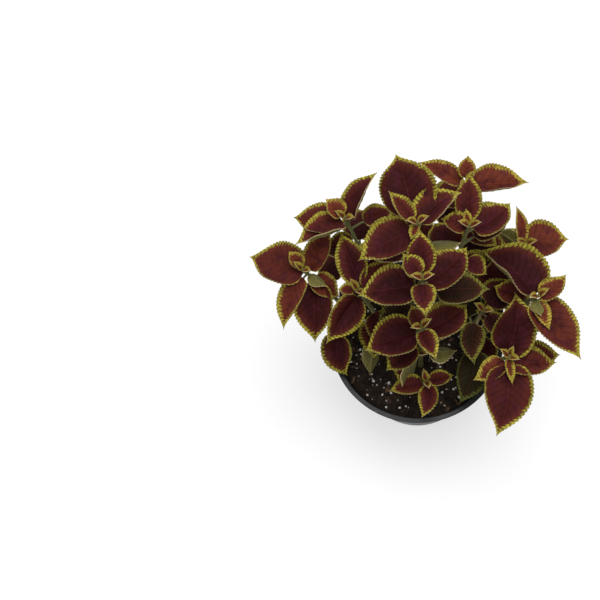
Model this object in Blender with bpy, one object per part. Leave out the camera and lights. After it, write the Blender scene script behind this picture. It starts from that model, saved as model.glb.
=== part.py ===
# Potted coleus: a black nursery pot of potting mix with leafy stems standing in it.
# Metres, +Z up, origin at the middle of the pot's flat base. The front of the plant is -Y.

import math

import bmesh
import bpy
from mathutils import Matrix, Vector

MM = 0.001

# Pot, a tapered nursery pot with a rolled lip, 165 mm across the top
POT_HEIGHT = 0.118
POT_TOP_RADIUS = 0.0825        # outside of the lip
POT_BASE_RADIUS = 0.0580
POT_WALL = 0.0016
LIP_WIDTH = 0.0048             # the flat band seen from above
LIP_HEIGHT = 0.0090
LIP_ROUNDING = 0.0008
LIP_TAPER = 0.0016             # the lip leans in with the wall below it
BASE_THICKNESS = 0.0024
DRAIN_HOLE_COUNT = 8
DRAIN_HOLE_RADIUS = 0.0045
DRAIN_HOLE_CIRCLE = 0.0440
POT_SIDES = 44

# Potting mix
SOIL_BELOW_RIM = 0.0115
SOIL_GAP = 0.0004              # clear of the pot all round
SOIL_BUMP = 0.0011
SOIL_RINGS = (0.010, 0.024, 0.038, 0.052, 0.064)
SOIL_SIDES = 30

# Stems, square in section as on any coleus
STEM_DEPTH = 0.018             # length standing in the soil
STEM_FOOT = 0.0024             # half the width at the foot
STEM_TOP = 0.0012              # half the width under the topmost leaves
STEM_STEPS = 7
HOLE_GAP = 0.0004
HOLE_SIDES = 8

# Leaves
BLADE_THICKNESS = 0.0008
STALK_RADIUS = 0.0011
LONG_STALK = 0.007             # a longer stalk curves, a shorter one is straight
STALK_LIFT = 25.0              # a stalk leaves its stem this much steeper than its blade
BLADE_BEND = 20.0              # the blade droops by this angle from base to tip
LEVEL_BLADE = (0, 0, 10)       # roll, sweep and fold of a leaf that doesn't state them
TOOTH_DEPTH = 0.10             # of the half width
TOOTH_LEAN = 0.62              # teeth point towards the tip
BLADE_NECK = 0.0015            # half the width where the stalk runs into the blade
BUD_LENGTH = 12.0
BUD_WIDTH = 7.0

# Colours
POT_COLOUR = (0.020, 0.021, 0.023, 1.0)
SOIL_COLOUR = (0.030, 0.020, 0.014, 1.0)
LEAF_COLOUR = (0.115, 0.016, 0.020, 1.0)

# Leafy stems. foot is where a stem stands in the soil and top is its growing tip, in mm
# (top is given from the rim upwards). Each leaf is
# (mm below the top, heading, rise, stalk mm, blade length mm, blade width mm, roll, sweep,
# fold). Heading is in degrees round from +X, rise is the blade's slope at its base, roll
# turns the blade about its midrib, sweep curves the midrib sideways by that angle, and
# fold is how far each half rises from the midrib. A short row ends in LEVEL_BLADE.
LEAFY_STEMS = {
    "leafy_stem_centre_back": dict(foot=(-4, 30), top=(1, 48, 165), leaves=(
        (22, 101, 18, 18, 57, 50, 0, 8),
        (12, -156, 5, 5, 51, 38, 0, 10),
        (10, 58, 12, 5, 45, 32, -15, -40),
        (6, 134, 32, 7, 31, 16),
        (44, 6, 5, 14, 26, 17, 150),
        (52, 172, 8, 10, 42, 34),
        (78, 118, -6, 10, 38, 30),
        (4, -110, 15, 2, 14, 9))),
    "leafy_stem_centre": dict(foot=(2, 4), top=(5, 0, 160), leaves=(
        (10, 92, 28, 8, 36, 25),
        (6, 129, 30, 6, 22, 19),
        (20, 28, 12, 6, 46, 34, 0, 30),
        (24, -177, 5, 6, 48, 39, 0, 8),
        (9, -85, 18, 4, 29, 21),
        (46, 11, 0, 14, 47, 32, 0, -8),
        (72, -152, -5, 8, 38, 32),
        (84, 60, -12, 10, 40, 30))),
    "leafy_stem_centre_front": dict(foot=(4, -22), top=(4, -25, 112), leaves=(
        (6, 115, 30, 3, 19, 17),
        (18, -166, 5, 5, 47, 39, 0, 10),
        (14, 16, 5, 6, 43, 33, 0, 38),
        (6, -67, 20, 4, 30, 18),
        (44, -140, -5, 8, 34, 28),
        (46, 40, -5, 8, 34, 28))),
    "leafy_stem_left_inner": dict(foot=(-30, 8), top=(-52, 13, 100), leaves=(
        (8, 38, 10, 5, 40, 27, 0, 20),
        (4, 180, 20, 5, 14, 12),
        (10, -129, -5, 4, 50, 32, -30, 8, 25),
        (12, 109, 20, 12, 49, 28),
        (38, -60, -10, 8, 40, 30),
        (42, 128, -14, 8, 36, 28),
        (74, -100, -20, 20, 34, 20, 150),
        (60, -92, -6, 6, 36, 30))),
    "leafy_stem_left_back": dict(foot=(-34, 40), top=(-63, 75, 118), leaves=(
        (10, 69, 40, 7, 48, 27, -25, -30, 20),
        (8, -157, 8, 4, 47, 36, 25, 0, 20),
        (14, 168, 5, 12, 42, 32),
        (16, 28, 0, 14, 31, 22),
        (4, 139, 32, 6, 21, 19),
        (44, 95, -10, 10, 42, 32),
        (50, -50, -5, 10, 38, 28),
        (36, -178, -14, 4, 32, 26))),
    "leafy_stem_left": dict(foot=(-52, 14), top=(-104, 41, 80), leaves=(
        (8, 60, 25, 4, 45, 25, 0, 8),
        (9, 161, 5, 5, 56, 44),
        (8, -131, -8, 6, 52, 24, 0, 38),
        (6, 133, 28, 8, 18, 15),
        (16, -89, -15, 4, 56, 39),
        (70, -106, -12, 27, 42, 30, 0, 62),
        (48, 98, -10, 16, 40, 26),
        (14, -34, -4, 2, 30, 24),
        (8, -38, 12, 3, 20, 14, 150),
        (52, 12, -6, 3, 38, 30))),
    "leafy_stem_front": dict(foot=(8, -46), top=(9, -51, 32), leaves=(
        (8, -165, 10, 4, 32, 20),
        (6, -78, 10, 5, 31, 19, 0, -45),
        (9, 16, 5, 4, 23, 16))),
    "leafy_stem_right_inner": dict(foot=(44, -2), top=(61, 8, 62), leaves=(
        (7, -113, 5, 14, 38, 23, 0, 40),
        (7, 46, 15, 10, 33, 31),
        (7, -43, 0, 6, 28, 22),
        (26, -90, -6, 30, 50, 30, 0, -38),
        (34, 105, -5, 10, 40, 32))),
    "leafy_stem_right_front": dict(foot=(48, -30), top=(82, -38, 66), leaves=(
        (9, 60, 38, 6, 56, 39, 0, 42),
        (7, -83, 5, 8, 65, 43, 0, -34),
        (8, -130, 10, 3, 33, 21, 0, -30),
        (8, -18, 10, 5, 41, 30, 0, 28),
        (34, 8, -5, 28, 40, 27),
        (3, -85, 18, 2, 25, 9),
        (3, 62, 60, 2, 12, 6),
        (46, 82, -5, 3, 30, 26))),
    "leafy_stem_right": dict(foot=(62, 6), top=(106, 10, 92), leaves=(
        (7, 115, 5, 3, 65, 51, 20, 38, 25),
        (8, -53, 0, 3, 64, 37, 0, 0),
        (5, 14, 30, 4, 30, 20, 0, 42),
        (6, -70, 10, 4, 29, 15),
        (16, 150, 0, 4, 30, 26),
        (44, -20, -10, 10, 28, 24),
        (6, -80, 25, 4, 18, 12, 165),
        (52, 165, -6, 3, 26, 28),
        (49, 65, -6, 3, 34, 30))),
    "leafy_stem_right_back": dict(foot=(50, 40), top=(99, 65, 80), leaves=(
        (7, 88, 35, 6, 33, 12, 0, 26),
        (6, 15, 10, 4, 38, 38, 0, -14),
        (7, 140, 0, 5, 22, 18, 110),
        (10, -27, -10, 6, 20, 16),
        (40, 60, -5, 10, 44, 34),
        (44, 175, -5, 6, 40, 34),
        (32, -128, 0, 4, 36, 32))),
    "leafy_stem_back_right": dict(foot=(26, 58), top=(44, 101, 132), leaves=(
        (8, 139, 10, 6, 43, 20, 0, 20),
        (6, 85, 32, 8, 20, 16),
        (7, 6, 5, 5, 51, 32, -8, 0, 22),
        (44, 95, -5, 10, 42, 34),
        (48, -30, -5, 8, 36, 28),
        (72, -8, 8, 6, 46, 36),
        (62, 100, 2, 5, 38, 32))),
    "leafy_stem_back_inner": dict(foot=(24, 30), top=(45, 56, 140), leaves=(
        (12, 86, 20, 12, 42, 24),
        (7, 150, 15, 2, 23, 21, 0, 15),
        (11, 25, 5, 7, 42, 31, 0, 28),
        (40, -45, -5, 10, 22, 20, 0, 20),
        (44, 121, -5, 7, 36, 32),
        (4, 100, 40, 3, 14, 8),
        (30, 35, 0, 14, 38, 26),
        (62, 12, -4, 8, 30, 22))),
    "leafy_stem_front_left": dict(foot=(-6, -38), top=(2, -27, 46), leaves=(
        (6, -118, -12, 6, 27, 28, 40, 0, 50),
        (7, 8, 0, 11, 26, 20, 150))),
    "leafy_stem_back": dict(foot=(-10, 60), top=(-12, 80, 62), leaves=(
        (8, 85, 5, 8, 42, 34),
        (8, 175, 10, 6, 34, 26),
        (9, 22, 10, 6, 34, 28),
        (30, 130, -10, 10, 38, 30),
        (32, 40, -10, 10, 36, 28))),
}


def clear_scene():
    for item in list(bpy.data.objects):
        bpy.data.objects.remove(item, do_unlink=True)


def make_material(name, colour, roughness):
    material = bpy.data.materials.new(name)
    material.use_nodes = True
    shader = material.node_tree.nodes["Principled BSDF"]
    shader.inputs["Base Color"].default_value = colour
    shader.inputs["Roughness"].default_value = roughness
    shader.inputs["Metallic"].default_value = 0.0
    material.diffuse_color = colour
    return material


def make_object(name, points, faces, material=None):
    mesh = bpy.data.meshes.new(name)
    mesh.from_pydata(points, [], faces)
    mesh.update()
    shape = bpy.data.objects.new(name, mesh)
    bpy.context.scene.collection.objects.link(shape)
    if material:
        mesh.materials.append(material)
    return shape


def make_cutter(name, radius, bottom, top, place, sides):
    points, faces = [], []
    for height in (bottom, top):
        for step in range(sides):
            angle = 2 * math.pi * step / sides
            points.append((place[0] + radius * math.cos(angle),
                           place[1] + radius * math.sin(angle), height))
    for step in range(sides):
        after = (step + 1) % sides
        faces.append((step, after, sides + after, sides + step))
    faces.append(tuple(reversed(range(sides))))
    faces.append(tuple(range(sides, 2 * sides)))
    return make_object(name, points, faces)


def cut_with(shape, cutters, name):
    group = bpy.data.collections.new(name)
    bpy.context.scene.collection.children.link(group)
    for cutter in cutters:
        for owner in list(cutter.users_collection):
            owner.objects.unlink(cutter)
        group.objects.link(cutter)
        cutter.hide_render = True
        cutter.display_type = 'WIRE'
    cut = shape.modifiers.new(name, 'BOOLEAN')
    cut.operation = 'DIFFERENCE'
    cut.operand_type = 'COLLECTION'
    cut.collection = group
    cut.solver = 'EXACT'


def turn(name, profile, sides, material):
    # profile is a closed loop of (radius, height), outside first, running downwards;
    # a radius of zero makes one middle point
    points, rings = [], []
    for radius, height in profile:
        if radius == 0.0:
            rings.append([len(points)])
            points.append((0.0, 0.0, height))
            continue
        rings.append(list(range(len(points), len(points) + sides)))
        for step in range(sides):
            angle = 2 * math.pi * step / sides
            points.append((radius * math.cos(angle), radius * math.sin(angle), height))
    faces = []
    closed = profile[0][0] > 0.0 and profile[-1][0] > 0.0
    pairs = list(zip(rings, rings[1:]))
    if closed:
        pairs.append((rings[-1], rings[0]))
    for upper, lower in pairs:
        for step in range(sides):
            after = (step + 1) % sides
            if len(upper) == 1 and len(lower) == 1:
                continue
            if len(upper) == 1:
                faces.append((upper[0], lower[step], lower[after]))
            elif len(lower) == 1:
                faces.append((upper[step], lower[0], upper[after]))
            else:
                faces.append((upper[step], lower[step], lower[after], upper[after]))
    return make_object(name, points, faces, material)


def inner_radius(height):
    # inside of the pot's tapered wall at a height
    top = POT_TOP_RADIUS - LIP_WIDTH
    bottom = POT_BASE_RADIUS - POT_WALL
    share = height / POT_HEIGHT
    return bottom + (top - bottom) * share


def make_pot():
    material = make_material("black_plastic", POT_COLOUR, 0.42)
    lip_inner = POT_TOP_RADIUS - LIP_WIDTH
    lip_foot = POT_HEIGHT - LIP_HEIGHT
    outside = inner_radius(lip_foot) + POT_WALL
    profile = (
        (POT_TOP_RADIUS - LIP_ROUNDING, POT_HEIGHT),
        (POT_TOP_RADIUS, POT_HEIGHT - LIP_ROUNDING),
        (POT_TOP_RADIUS - LIP_TAPER, lip_foot),
        (outside, lip_foot),
        (POT_BASE_RADIUS + 0.0006, 0.0012),
        (POT_BASE_RADIUS - 0.0008, 0.0),
        (0.0, 0.0))
    inside = (
        (0.0, BASE_THICKNESS),
        (inner_radius(BASE_THICKNESS), BASE_THICKNESS),
        (lip_inner, POT_HEIGHT - LIP_ROUNDING),
        (lip_inner + LIP_ROUNDING, POT_HEIGHT))
    pot = turn("pot", profile + inside, POT_SIDES, material)
    # the two middle points belong to the base's lower and upper faces
    drains = []
    for step in range(DRAIN_HOLE_COUNT):
        angle = 2 * math.pi * (step + 0.5) / DRAIN_HOLE_COUNT
        place = (DRAIN_HOLE_CIRCLE * math.cos(angle), DRAIN_HOLE_CIRCLE * math.sin(angle))
        drains.append(make_cutter("drain_cutter_%d" % step, DRAIN_HOLE_RADIUS,
                                  -BASE_THICKNESS, 2 * BASE_THICKNESS, place, 12))
    cut_with(pot, drains, "drain_holes")
    return pot


def soil_height(x, y):
    top = POT_HEIGHT - SOIL_BELOW_RIM
    wave = math.sin(x * 190.0 + 1.3) * math.cos(y * 165.0) + 0.6 * math.sin((x - y) * 330.0)
    return top + SOIL_BUMP * wave


def make_soil():
    material = make_material("potting_mix", SOIL_COLOUR, 0.95)
    floor = BASE_THICKNESS + SOIL_GAP
    edge_height = POT_HEIGHT - SOIL_BELOW_RIM
    edge = inner_radius(edge_height) - SOIL_GAP
    profile = [(0.0, edge_height)]
    profile += [(radius, edge_height) for radius in SOIL_RINGS]
    profile += [(edge, edge_height - 0.001), (inner_radius(floor) - SOIL_GAP, floor), (0.0, floor)]
    soil = turn("soil", profile, SOIL_SIDES, material)
    for point in soil.data.vertices:
        x, y, z = point.co
        if z > edge_height - 0.0005:
            point.co.z = soil_height(x, y)
    cutters = []
    for name, stem in LEAFY_STEMS.items():
        place = (stem["foot"][0] * MM, stem["foot"][1] * MM)
        radius = STEM_FOOT * math.sqrt(2) + HOLE_GAP
        bottom = edge_height - STEM_DEPTH - HOLE_GAP
        cutters.append(make_cutter("hole_cutter_" + name, radius, bottom,
                                   POT_HEIGHT, place, HOLE_SIDES))
    cut_with(soil, cutters, "stem_holes")
    return soil


def direction(heading, rise):
    heading, rise = math.radians(heading), math.radians(rise)
    return Vector((math.cos(rise) * math.cos(heading),
                   math.cos(rise) * math.sin(heading), math.sin(rise)))


def stem_path(stem):
    # upright in the soil, then leaning over towards the growing tip
    soil_top = POT_HEIGHT - SOIL_BELOW_RIM
    foot = Vector((stem["foot"][0] * MM, stem["foot"][1] * MM, soil_top))
    top = Vector((stem["top"][0] * MM, stem["top"][1] * MM, POT_HEIGHT + stem["top"][2] * MM))
    reach = top - foot
    middle = foot + Vector((reach.x * 0.35, reach.y * 0.35, reach.z * 0.6))
    path = [foot - Vector((0.0, 0.0, STEM_DEPTH))]
    for step in range(STEM_STEPS + 1):
        t = step / STEM_STEPS
        path.append((1 - t) ** 2 * foot + 2 * t * (1 - t) * middle + t ** 2 * top)
    return path


def point_below_top(path, distance):
    for upper, lower in zip(path[::-1], path[-2::-1]):
        length = (upper - lower).length
        if distance <= length:
            return upper + (lower - upper) * (distance / length)
        distance -= length
    return path[0].copy()


def walk(start, heading, rise, bend, sweep, length, steps):
    points = [start.copy()]
    for step in range(steps):
        t = (step + 0.5) / steps
        way = direction(heading + sweep * t, rise - bend * t)
        points.append(points[-1] + way * (length / steps))
    return points


def half_width(t, width):
    # broad ovate outline, widest before the middle, drawn out to a pointed tip
    return 0.5 * width * math.sin(math.pi * t ** 0.66) ** (0.48 + 0.95 * t ** 2)


def tooth_count(length):
    if length > 40:
        return 5
    if length > 20:
        return 4
    if length > 12:
        return 3
    return 2


def leaf_mesh(path, leaf):
    # one closed thin body: a six-sided stalk that runs into a toothed blade,
    # with the same triangles on the blade's two faces
    leaf = leaf + LEVEL_BLADE[len(leaf) - 6:]
    below, heading, rise, stalk, length, width, roll, sweep, fold = leaf
    stalk, length, width = stalk * MM, length * MM, width * MM
    start = point_below_top(path, below * MM)
    stalk_steps = 2 if stalk > LONG_STALK else 1
    stalk_points = walk(start, heading, rise + STALK_LIFT, STALK_LIFT, 0, stalk, stalk_steps)
    teeth = tooth_count(length / MM)
    rib = walk(stalk_points[-1], heading, rise, BLADE_BEND, sweep, length, 4 * teeth)
    spread, lift = math.cos(math.radians(fold)), math.sin(math.radians(fold))

    def frame_at(t):
        turned = heading + sweep * t
        along = direction(turned, rise - BLADE_BEND * t)
        side = Vector((math.sin(math.radians(turned)), -math.cos(math.radians(turned)), 0.0))
        across = Matrix.Rotation(math.radians(roll), 3, along) @ side
        return across, across.cross(along)

    def rib_at(t):
        place = t * 4 * teeth
        low = min(int(place), 4 * teeth - 1)
        return rib[low].lerp(rib[low + 1], place - low)

    points, faces = [], []

    def add(point, up, thickness):
        points.append(point + up * (thickness * 0.5))
        points.append(point - up * (thickness * 0.5))
        return len(points) - 2

    def add_edge(t, share, hand):
        across, up = frame_at(t)
        out = max(half_width(t, width) * share, BLADE_NECK)
        edge = rib_at(t) + across * (out * spread * hand) + up * (out * lift)
        return add(edge, up, BLADE_THICKNESS)

    # stalk rings, each as three upper and three lower points
    rings = []
    across, up = frame_at(0.0)
    for place, centre in enumerate(stalk_points[:-1]):
        left = add(centre - across * STALK_RADIUS, up, STALK_RADIUS)
        middle = add(centre, up, 2 * STALK_RADIUS)
        right = add(centre + across * STALK_RADIUS, up, STALK_RADIUS)
        rings.append((left, middle, right))

    middles = [add(rib_at(0.0), frame_at(0.0)[1], 1.6 * STALK_RADIUS)]
    for cell in range(1, teeth):
        middles.append(add(rib_at(cell / teeth), frame_at(cell / teeth)[1], BLADE_THICKNESS))
    tip = add(rib_at(1.0), frame_at(1.0)[1], BLADE_THICKNESS)
    edges = {}
    for hand in (-1, 1):
        edge = []
        for cell in range(teeth):
            notch = cell / teeth
            tooth = (cell + TOOTH_LEAN) / teeth
            edge.append(add_edge(notch, 1.0 - TOOTH_DEPTH, hand))
            edge.append(add_edge(tooth, 1.0, hand))
        edges[hand] = edge

    def both_faces(a, b, c):
        faces.append((a, b, c))
        faces.append((c + 1, b + 1, a + 1))

    for hand in (-1, 1):
        edge = edges[hand]
        for cell in range(teeth):
            notch, tooth = edge[2 * cell], edge[2 * cell + 1]
            rib_low = middles[cell]
            rib_high = middles[cell + 1] if cell < teeth - 1 else tip
            corners = [(rib_low, notch, tooth), (rib_low, tooth, rib_high)]
            if cell < teeth - 1:
                corners.append((rib_high, tooth, edge[2 * cell + 2]))
            for a, b, c in corners:
                if hand > 0:
                    both_faces(a, b, c)
                else:
                    both_faces(a, c, b)

    outline = edges[1] + [tip] + edges[-1][::-1]
    for a, b in zip(outline, outline[1:]):
        faces.append((a, a + 1, b + 1))
        faces.append((a, b + 1, b))

    rings.append((edges[-1][0], middles[0], edges[1][0]))
    for ring, after in zip(rings, rings[1:]):
        loop = (ring[0], ring[1], ring[2], ring[2] + 1, ring[1] + 1, ring[0] + 1)
        next_loop = (after[0], after[1], after[2], after[2] + 1, after[1] + 1, after[0] + 1)
        for place in range(6):
            other = (place + 1) % 6
            faces.append((loop[place], loop[other], next_loop[other]))
            faces.append((loop[place], next_loop[other], next_loop[place]))
    left, middle, right = rings[0]
    faces.append((left, left + 1, middle + 1, right + 1, right, middle))
    return points, faces


def stem_mesh(path):
    points, faces = [], []
    last = len(path) - 1
    for place, centre in enumerate(path):
        share = max(0.0, (place - 1) / (last - 1))
        half = STEM_FOOT + (STEM_TOP - STEM_FOOT) * share
        if place < last:
            along = (path[place + 1] - centre).normalized()
        else:
            along = (centre - path[place - 1]).normalized()
        if place == 1:
            along = Vector((0.0, 0.0, 1.0))
        across = Vector((0.0, 1.0, 0.0)).cross(along).normalized()
        other = along.cross(across)
        for a, b in ((1, 1), (-1, 1), (-1, -1), (1, -1)):
            points.append(centre + across * (half * a) + other * (half * b))
    for place in range(last):
        for corner in range(4):
            after = (corner + 1) % 4
            low, high = 4 * place, 4 * place + 4
            faces.append((low + corner, low + after, high + after, high + corner))
    faces.append((3, 2, 1, 0))
    faces.append(tuple(4 * last + corner for corner in range(4)))
    return points, faces


def outward(shape):
    # faces pointing out, whichever way a closed body was first listed
    mesh = bmesh.new()
    mesh.from_mesh(shape.data)
    bmesh.ops.recalc_face_normals(mesh, faces=mesh.faces)
    mesh.to_mesh(shape.data)
    mesh.free()


def make_leafy_stem(name, stem, material):
    path = stem_path(stem)
    body = make_object(name, *stem_mesh(path), material)
    outward(body)
    first_heading = stem["leaves"][0][1]
    leaves = list(stem["leaves"])
    for turned in (90, 270):
        leaves.append((2, first_heading + turned, 55, 2, BUD_LENGTH, BUD_WIDTH))
    group = bpy.data.collections.new(name + "_leaves")
    bpy.context.scene.collection.children.link(group)
    for leaf in leaves:
        blade = make_object(name + "_leaf", *leaf_mesh(path, leaf), material)
        outward(blade)
        bpy.context.scene.collection.objects.unlink(blade)
        group.objects.link(blade)
    join = body.modifiers.new("join", 'BOOLEAN')
    join.operation = 'UNION'
    join.operand_type = 'COLLECTION'
    join.collection = group
    join.solver = 'MANIFOLD'
    view = bpy.context.evaluated_depsgraph_get()
    joined = bpy.data.meshes.new_from_object(body.evaluated_get(view))
    body.modifiers.clear()
    body.data = joined
    for blade in list(group.objects):
        bpy.data.objects.remove(blade, do_unlink=True)
    bpy.data.collections.remove(group)
    return body


def main():
    clear_scene()
    make_pot()
    make_soil()
    foliage = make_material("coleus_leaf", LEAF_COLOUR, 0.6)
    for name, stem in LEAFY_STEMS.items():
        make_leafy_stem(name, stem, foliage)


main()
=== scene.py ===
import itertools
import math
import random

import bpy
import numpy as np
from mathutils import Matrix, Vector


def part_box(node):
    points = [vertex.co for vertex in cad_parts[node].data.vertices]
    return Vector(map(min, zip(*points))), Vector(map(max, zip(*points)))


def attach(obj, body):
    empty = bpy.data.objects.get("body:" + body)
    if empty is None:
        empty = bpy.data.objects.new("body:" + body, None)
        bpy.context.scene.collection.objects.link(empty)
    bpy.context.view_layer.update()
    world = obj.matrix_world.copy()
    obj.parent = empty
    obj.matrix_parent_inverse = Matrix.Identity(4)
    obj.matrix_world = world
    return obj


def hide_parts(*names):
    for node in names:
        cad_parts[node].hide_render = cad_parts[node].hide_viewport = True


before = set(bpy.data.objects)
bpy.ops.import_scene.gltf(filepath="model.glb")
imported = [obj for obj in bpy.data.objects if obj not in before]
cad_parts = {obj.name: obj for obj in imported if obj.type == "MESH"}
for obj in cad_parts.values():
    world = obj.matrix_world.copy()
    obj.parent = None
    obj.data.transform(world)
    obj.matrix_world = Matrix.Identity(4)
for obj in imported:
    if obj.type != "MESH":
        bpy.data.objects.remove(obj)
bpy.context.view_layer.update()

mm = 0.001      # metres in a millimetre
inMm = 1000     # millimetres in a metre
print("frame loaded, %d nodes" % len(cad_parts))

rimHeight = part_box("pot")[1][2]
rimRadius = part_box("pot")[1][0]


# Small helpers for objects and meshes

def addObject(name, data):
    added = bpy.data.objects.new(name, data)
    bpy.context.scene.collection.objects.link(added)
    return added


def newMesh(name, points, faces, smooth=True):
    mesh = bpy.data.meshes.new(name)
    mesh.from_pydata(points, [], faces)
    mesh.polygons.foreach_set("use_smooth", [smooth] * len(mesh.polygons))
    mesh.update()
    return mesh


# Camera, looking steeply down from the front as the photograph does.
# The pixel is where the middle of the pot's rim lands in a 600 by 600 picture.

cameraView = dict(elevation=72.0, distance=0.95, focalPixels=978.0,
                  rimPixel=(416.4, 338.8), pictureSize=600, sensor=36.0, clip=(0.01, 50.0))


def placeCamera(look):
    data = bpy.data.cameras.new("photoCamera")
    camera = addObject("photoCamera", data)
    data.sensor_width = look["sensor"]
    data.lens = look["focalPixels"] / look["pictureSize"] * look["sensor"]
    angle = math.radians(look["elevation"])
    rim = Vector((0.0, 0.0, rimHeight))
    camera.location = rim + look["distance"] * Vector((0.0, -math.cos(angle), math.sin(angle)))
    aim = (rim - camera.location).to_track_quat("-Z", "Y")
    # turn about the camera's own axes until the rim's middle lands on its pixel
    half = look["pictureSize"] / 2
    right = (look["rimPixel"][0] - half) / look["focalPixels"]
    up = (half - look["rimPixel"][1]) / look["focalPixels"]
    wanted = Vector((right, up, -1.0)).normalized()
    turn = Vector((0.0, 0.0, -1.0)).rotation_difference(wanted)
    camera.rotation_mode = "QUATERNION"
    camera.rotation_quaternion = aim @ turn.inverted()
    data.clip_start, data.clip_end = look["clip"]
    bpy.context.scene.camera = camera


placeCamera(cameraView)
print("camera placed")


# Small helpers for node materials

def put(socket, value):
    # a value goes on the socket, another node's output is linked to it
    if isinstance(value, bpy.types.NodeSocket):
        socket.id_data.links.new(value, socket)
    elif isinstance(value, tuple) and socket.type == "RGBA":
        socket.default_value = (*value, 1.0)
    else:
        socket.default_value = value


def putAll(node, *pairs):
    for name, value in pairs:
        put(node.inputs[name], value)


def newMaterial(name, roughness, sheen=0.0, sheenTint=(1, 1, 1), sheenRoughness=0.4, specular=0.5):
    material = bpy.data.materials.new(name)
    material.use_nodes = True
    shader = material.node_tree.nodes["Principled BSDF"]
    putAll(shader, ("Roughness", roughness), ("Specular IOR Level", specular),
           ("Sheen Weight", sheen), ("Sheen Roughness", sheenRoughness),
           ("Sheen Tint", sheenTint))
    return material, material.node_tree, shader


def calc(tree, operation, a, b=0.0, c=None):
    node = tree.nodes.new("ShaderNodeMath")
    node.operation = operation
    put(node.inputs[0], a)
    put(node.inputs[1], b)
    if c is not None:
        put(node.inputs[2], c)
    return node.outputs[0]


def fade(tree, value, low, high, fromLow=0.0, fromHigh=1.0):
    # smooth step of a value between low and high
    node = tree.nodes.new("ShaderNodeMapRange")
    node.interpolation_type = "SMOOTHSTEP"
    putAll(node, ("Value", value), ("From Min", low), ("From Max", high),
           ("To Min", fromLow), ("To Max", fromHigh))
    return node.outputs["Result"]


def blendColour(tree, share, first, second):
    node = tree.nodes.new("ShaderNodeMix")
    node.data_type = "RGBA"
    putAll(node, ("Factor", share), ("A", first), ("B", second))
    return node.outputs["Result"]


def grain(tree, scale, detail=3.0, roughness=0.55, stretch=None):
    where = tree.nodes.new("ShaderNodeTexCoord").outputs["Object"]
    if stretch:
        squeeze = tree.nodes.new("ShaderNodeMapping")
        putAll(squeeze, ("Vector", where), ("Scale", stretch))
        where = squeeze.outputs["Vector"]
    node = tree.nodes.new("ShaderNodeTexNoise")
    putAll(node, ("Vector", where), ("Scale", scale), ("Detail", detail),
           ("Roughness", roughness))
    return node.outputs["Fac"]


def measured(tree, name):
    # a number kept on the mesh's points
    node = tree.nodes.new("ShaderNodeAttribute")
    node.attribute_name = name
    return node.outputs["Fac"]


def setSurface(tree, shader, colour, relief, strength, distance):
    # a finish's colour and its fine relief
    node = tree.nodes.new("ShaderNodeBump")
    putAll(node, ("Strength", strength), ("Distance", distance), ("Height", relief))
    putAll(shader, ("Base Color", colour), ("Normal", node.outputs["Normal"]))


# Leaf finishes. The points of a leaf carry the numbers that these read: marginPlace is 0 at the
# edge and about 1 where the lime band ends, toothPlace and veinPlace count the teeth and the
# side veins, ribPlace is the distance from the midrib in mm, and leafTone is low on leaves given
# painted shade and high on young leaves and on outer shoots given painted light. A pair of
# limits is where a smooth step starts and ends.

leafColours = dict(
    deep=(0.0195, 0.0026, 0.0028), wine=(0.0405, 0.0058, 0.0058), ember=(0.1200, 0.0255, 0.0125),
    plum=(0.0440, 0.0062, 0.0125), shade=(0.0095, 0.0098, 0.0024), shadeEdge=(0.040, 0.052, 0.012),
    vein=(0.0170, 0.0026, 0.0036), rib=(0.1150, 0.0240, 0.0220),
    lime=(0.400, 0.335, 0.038), gold=(0.400, 0.270, 0.045), olive=(0.110, 0.110, 0.020),
    rim=(0.520, 0.390, 0.200), under=(0.105, 0.094, 0.019), underVein=(0.150, 0.130, 0.035),
    underBlush=(0.052, 0.032, 0.013), stem=(0.092, 0.094, 0.023), stemBlush=(0.105, 0.050, 0.022),
    stemStreak=(0.050, 0.060, 0.013))

bladeLook = dict(wineTone=(0.0, 0.6), emberTone=(0.50, 1.05), dimTone=(0.15, -0.30), dimShare=0.85,
                 plumPatch=(0.50, 0.62), plumShare=0.6, warmEdge=(4.0, 0.8), warmShare=0.6,
                 deepPatch=(0.40, 0.70), deepShare=0.65, deepMiddle=(1.0, 5.0),
                 veinWidth=0.10, veinShare=0.40, ribEdge=(0.50, 0.12), ribShare=0.22)
limeLook = dict(combDepth=0.20, fineCombs=3, combWander=9.0, fineRag=1.3, broadRag=1.6,
                bandEnd=(1.10, 0.70), notchSide=(0.30, 0.46), notchMouth=(0.04, 0.30),
                notchPatch=(0.36, 0.56), faintNotch=0.25, notchDepth=0.85,
                limePatch=(0.38, 0.62), goldTone=(0.6, 1.2), goldShare=0.5, dimShare=0.9)


def ragged(tree, noise, amount):
    # swings evenly to both sides of nothing
    return calc(tree, "MULTIPLY_ADD", noise, amount, -0.5 * amount)


def fromMiddle(tree, counter):
    # how far a counter is from the middle of its step, 0 to a half
    return calc(tree, "ABSOLUTE", calc(tree, "SUBTRACT", calc(tree, "FRACT", counter), 0.5))


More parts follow.
